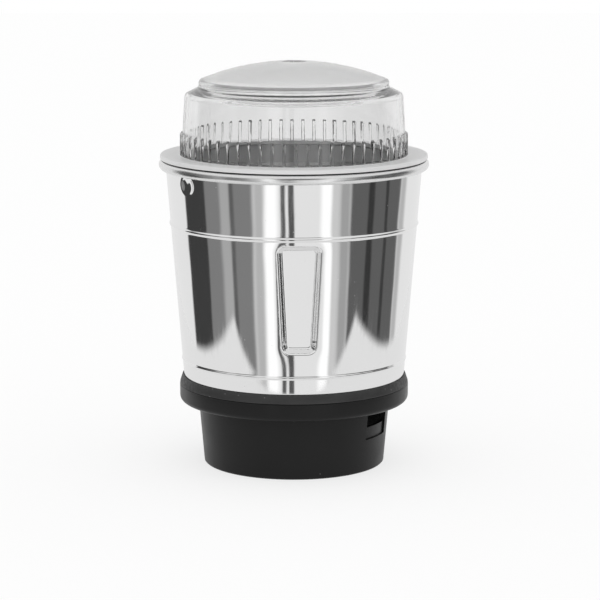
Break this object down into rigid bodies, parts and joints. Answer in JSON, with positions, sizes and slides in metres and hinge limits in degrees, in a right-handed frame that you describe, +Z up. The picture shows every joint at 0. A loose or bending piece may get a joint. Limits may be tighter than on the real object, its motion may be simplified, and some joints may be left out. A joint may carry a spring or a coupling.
{
  "type": "mixer grinder jar",
  "caption": "Small steel chutney jar with a clear ribbed lid, crossed blades on a spindle in a bush housing, and a black twist-on base.",
  "frame": {"origin": "centre of the base's foot, on the surface that the jar stands on", "axes": "+Z up along the spindle, -Y towards the front as pictured"},
  "size_m": [0.1192, 0.1192, 0.1808],
  "materials": {
    "clear_lid": "clear polycarbonate, polished, with a lightly frosted flange",
    "black_rubber": "smooth moulded rubber",
    "ring_rubber": "satin moulded rubber with mould marks",
    "polished_steel": "mirror polished stainless steel",
    "blade_steel": "ground stainless steel",
    "bright_steel": "plated steel, turned",
    "cast_metal": "machined casting",
    "bronze": "sintered bronze",
    "brass_insert": "turned brass",
    "nylon": "natural nylon",
    "black_plastic": "satin black moulded plastic"
  },
  "bodies": {
    "jar": {"lid_dome": "clear_lid", "lid_gasket": "black_rubber", "jar_body": "polished_steel", "bearing_housing": "cast_metal", "housing_gasket": "black_rubber", "housing_washer": "bright_steel", "housing_nut": "bright_steel", "upper_bush": "bronze", "lower_bush": "bronze", "shaft_seal": "black_rubber", "base_moulding": "black_plastic", "base_ring": "ring_rubber", "weld_nut_1": "bright_steel", "weld_nut_2": "bright_steel", "weld_nut_3": "bright_steel", "base_screw_1": "bright_steel", "base_screw_2": "bright_steel", "base_screw_3": "bright_steel", "screw_washer_1": "bright_steel", "screw_washer_2": "bright_steel", "screw_washer_3": "bright_steel"},
    "rotor": {"spindle": "bright_steel", "upper_thrust_washer": "nylon", "lower_thrust_washer": "nylon", "retaining_clip": "bright_steel", "blade_spacer": "bright_steel", "lower_blade": "blade_steel", "upper_blade": "blade_steel", "blade_washer": "bright_steel", "blade_cap_nut": "bright_steel", "coupler_insert": "brass_insert", "drive_coupler": "black_plastic"}
  },
  "joints": [
    {"name": "spindle_spin", "type": "hinge", "parent": "jar", "child": "rotor", "pos_m": [0, 0, 0.05], "axis": [0, 0, 1], "continuous": true}
  ]
}
